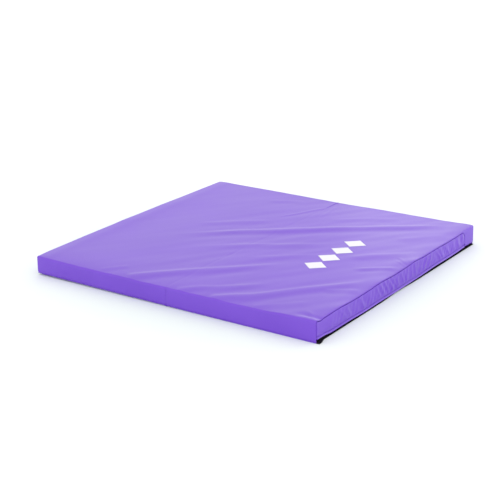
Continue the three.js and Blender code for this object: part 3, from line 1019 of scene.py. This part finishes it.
def build_stop(label, end):
    """A crimped staple over both coils."""
    name = f"zip_stop_{end}_{label}"
    low, high = cad_box(name)
    middle = (low + high) / 2
    size = (high - low) / 2
    section = rounded(rectangle(size[0], size[2]), 0.9, 4)
    pinch = [(-1, 0.82), (-0.82, 1.0), (-0.3, 0.97), (0, 0.92), (0.3, 0.97), (0.82, 1.0), (1, 0.82)]
    points = [(middle[0] + a * scale, middle[1] + share * size[1], middle[2] + b * scale)
              for share, scale in pinch for a, b in section]
    faces = tube_faces(len(pinch), len(section))
    stop = piece(f"{name}_crimp", points, faces, ENAMEL, f"{label}_panel")
    facing_out(stop)
    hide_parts(name)


# -------- stitching


STITCH_PITCH = 4.2
STITCH_LENGTH = 3.0
THREAD_RADIUS = 0.33
# A stitch's rings: share of its length from its middle, height and radius in thread radii.
STITCH_RINGS = np.array([(-0.5, -0.9, 0.35), (-0.42, -0.1, 0.9), (-0.15, 0.35, 1.0), (0.15, 0.35, 1.0),
                         (0.42, -0.1, 0.9), (0.5, -0.9, 0.35)])


def build_stitches(name, path, up, body):
    """Short stitches of thread laid along a path, each dipping into the cloth at both ends."""
    along = travelled(path)
    up = np.array(up, float)
    share, rise, size = STITCH_RINGS.T[:, :, None]
    parts = []
    for start in np.arange(STITCH_PITCH, along[-1] - STITCH_PITCH, STITCH_PITCH):
        first, last = (np.array([np.interp(at, along, path[:, k]) for k in range(3)])
                       for at in (start, start + STITCH_LENGTH))
        heading = (last - first) / np.linalg.norm(last - first)
        centres = (first + last) / 2 + heading * share * STITCH_LENGTH + up * rise * THREAD_RADIUS
        sideways = np.cross(heading, up)
        points = tube_points(centres, up[None], sideways[None], THREAD_RADIUS * size[:, :, None], 6)
        parts.append((points.reshape(-1, 3), tube_faces(len(STITCH_RINGS), 6)))
    points, faces = joined(parts)
    facing_out(piece(name, points, faces, THREAD, body))


def sew_hem(label):
    """A line of stitches along the top of an end band's hem."""
    side = SIDES[label]
    y = spaced(-Y_END + 14, FLANGE_Y - 8, 3)
    z = lip_z(y) + HEM
    out = band_out(y, z, side < 0) - 2.2
    path = np.stack([side * out, y, z], axis=-1)
    build_stitches(f"hem_stitches_{label}", path, (side, 0, 0), f"{label}_panel")


def sew_base(label):
    """A line of stitches round a base sheet, inside its edge, seen when the mat is folded."""
    side = SIDES[label]
    near, far, reach = SLIT_HALF + 7, ZIP_OUT - 10, Y_END - 12
    corners = np.array([(near, -reach), (far, -reach), (far, reach), (near, reach), (near, -reach)])
    at = np.arange(240) / 60
    out, y = (np.interp(at, range(5), corners[:, k]) for k in range(2))
    path = np.stack([side * out, y, 0 * y], axis=-1)
    path[:, 2] = base_lift(path[:, 0], path[:, 1]) + 0.02
    build_stitches(f"base_stitches_{label}", path, (0, 0, -1), f"{label}_panel")


# -------- mark

MARK_CENTRE = (324.0, 8.0)
MARK_SIZE = (92.0, 80.0)
MARK_PITCH = 92.0


def build_mark():
    """Four plain white diamonds, printed on the right panel's top."""
    share = np.linspace(-0.5, 0.5, 25)
    a, b = np.meshgrid(share, share, indexing="ij")
    points, faces = [], []
    for number in range(4):
        centre_y = MARK_CENTRE[1] + (number - 1.5) * MARK_PITCH
        x = MARK_CENTRE[0] + (a + b) * MARK_SIZE[0] / 2
        y = centre_y + (b - a) * MARK_SIZE[1] / 2
        z = top_height(x, y) + 0.28
        faces.extend((grid_faces(25, 25) + len(points) * 625).tolist())
        points.append(np.stack([x, y, z], axis=-1).reshape(-1, 3))
    mark = piece("top_mark", np.vstack(points), faces, INK, "right_panel")
    thicken(mark, 0.25)


# -------- stage


FLOOR_Z = -0.4  # just under the foot seams


def place_camera():
    """Looks at the mat from its front right corner's side, from a little above."""
    azimuth, elevation, roll = map(math.radians, (35.17, 19.11, -1.21))
    camera = bpy.data.objects.new("camera", bpy.data.cameras.new("camera"))
    bpy.context.scene.collection.objects.link(camera)
    camera.matrix_world = (
        Matrix.Translation((-0.0857, 0.0539, 0.004))
        @ Matrix.Rotation(azimuth, 4, "Z")
        @ Matrix.Rotation(math.pi / 2 - elevation, 4, "X")
        @ Matrix.Rotation(roll, 4, "Z")
        @ Matrix.Translation((0, 0, 4.815))
    )
    camera.data.sensor_width = 36.0
    camera.data.lens = 90.5
    bpy.context.scene.camera = camera


def place_floor():
    n = Nodes("floor")
    distance = n.add("ShaderNodeVectorMath", {0: n.place}, "Value", operation="LENGTH")
    # Painted shadow: the floor is coloured darker and grey-green within 0.6 m of the middle, fading to plain
    # near-white by 1.35 m, which stands in for the soft shade round the mat and cancels the purple light its
    # walls throw on the floor.
    color = n.mix(n.ramp(distance, 0.6, 1.35, 0.0, 1.0), (0.785, 0.84, 0.82, 1), (0.94, 0.95, 0.94, 1))
    n.finish(color, 0.85, IOR=1.3)
    corners = [(x, y, FLOOR_Z) for x, y in rectangle(9000, 9000)]
    floor = piece("floor", corners, [[0, 1, 2, 3]], n.owner, smooth=False)


def place_room():
    """A pale room, brighter low down."""
    n = Nodes("studio", "worlds", "Background", "Generated")
    height = n.add("ShaderNodeSeparateXYZ", {0: n.place}, "Z")
    n.feed(n.shader, "Strength", n.ramp(height, 0.0, 0.55, 1.40, 1.10))
    n.feed(n.shader, "Color", (1.0, 1.0, 1.0, 1))
    bpy.context.scene.world = n.owner


def place_lamp(name, kind, energy, aim, place=(0, 0, 0), **settings):
    """A lamp that shines along aim."""
    lamp = bpy.data.objects.new(name, bpy.data.lights.new(name, kind))
    lamp.data.energy = energy
    for key, value in settings.items():
        setattr(lamp.data, key, value)
    lamp.location = place
    lamp.rotation_euler = Vector(aim).to_track_quat("-Z", "Y").to_euler()
    bpy.context.scene.collection.objects.link(lamp)


def place_light():
    """The room, a broad lamp on the near side, and two panels behind."""
    place_room()
    place_lamp("key", "SUN", 0.6, (-0.40, 0.72, -0.56), angle=math.radians(60))
    place_lamp("softbox", "AREA", 4.5, (0.2, -1, -0.25), (-0.3, 3.2, 1.15),
               shape="RECTANGLE", size=2.2, size_y=1.3)
    place_lamp("kicker", "AREA", 13.0, (-1.4, -1.9, -0.3), (2.2, 2.4, 0.5),
               shape="RECTANGLE", size=2.4, size_y=0.9)
    bpy.context.scene.view_settings.view_transform = "Standard"


# -------- build

place_camera()
place_light()
place_floor()
build_cover_top()
for label in SIDES:
    build_end_band(label)
    build_base_sheet(label)
    build_fold_wall(label)
    build_foam(label)
    build_tapes(label)
    build_coil(label, "upper")
    build_coil(label, "lower")
    build_slider(label)
    build_pull(label)
    build_stop(label, "closed")
    build_stop(label, "open")
    sew_hem(label)
    sew_base(label)
build_mark()
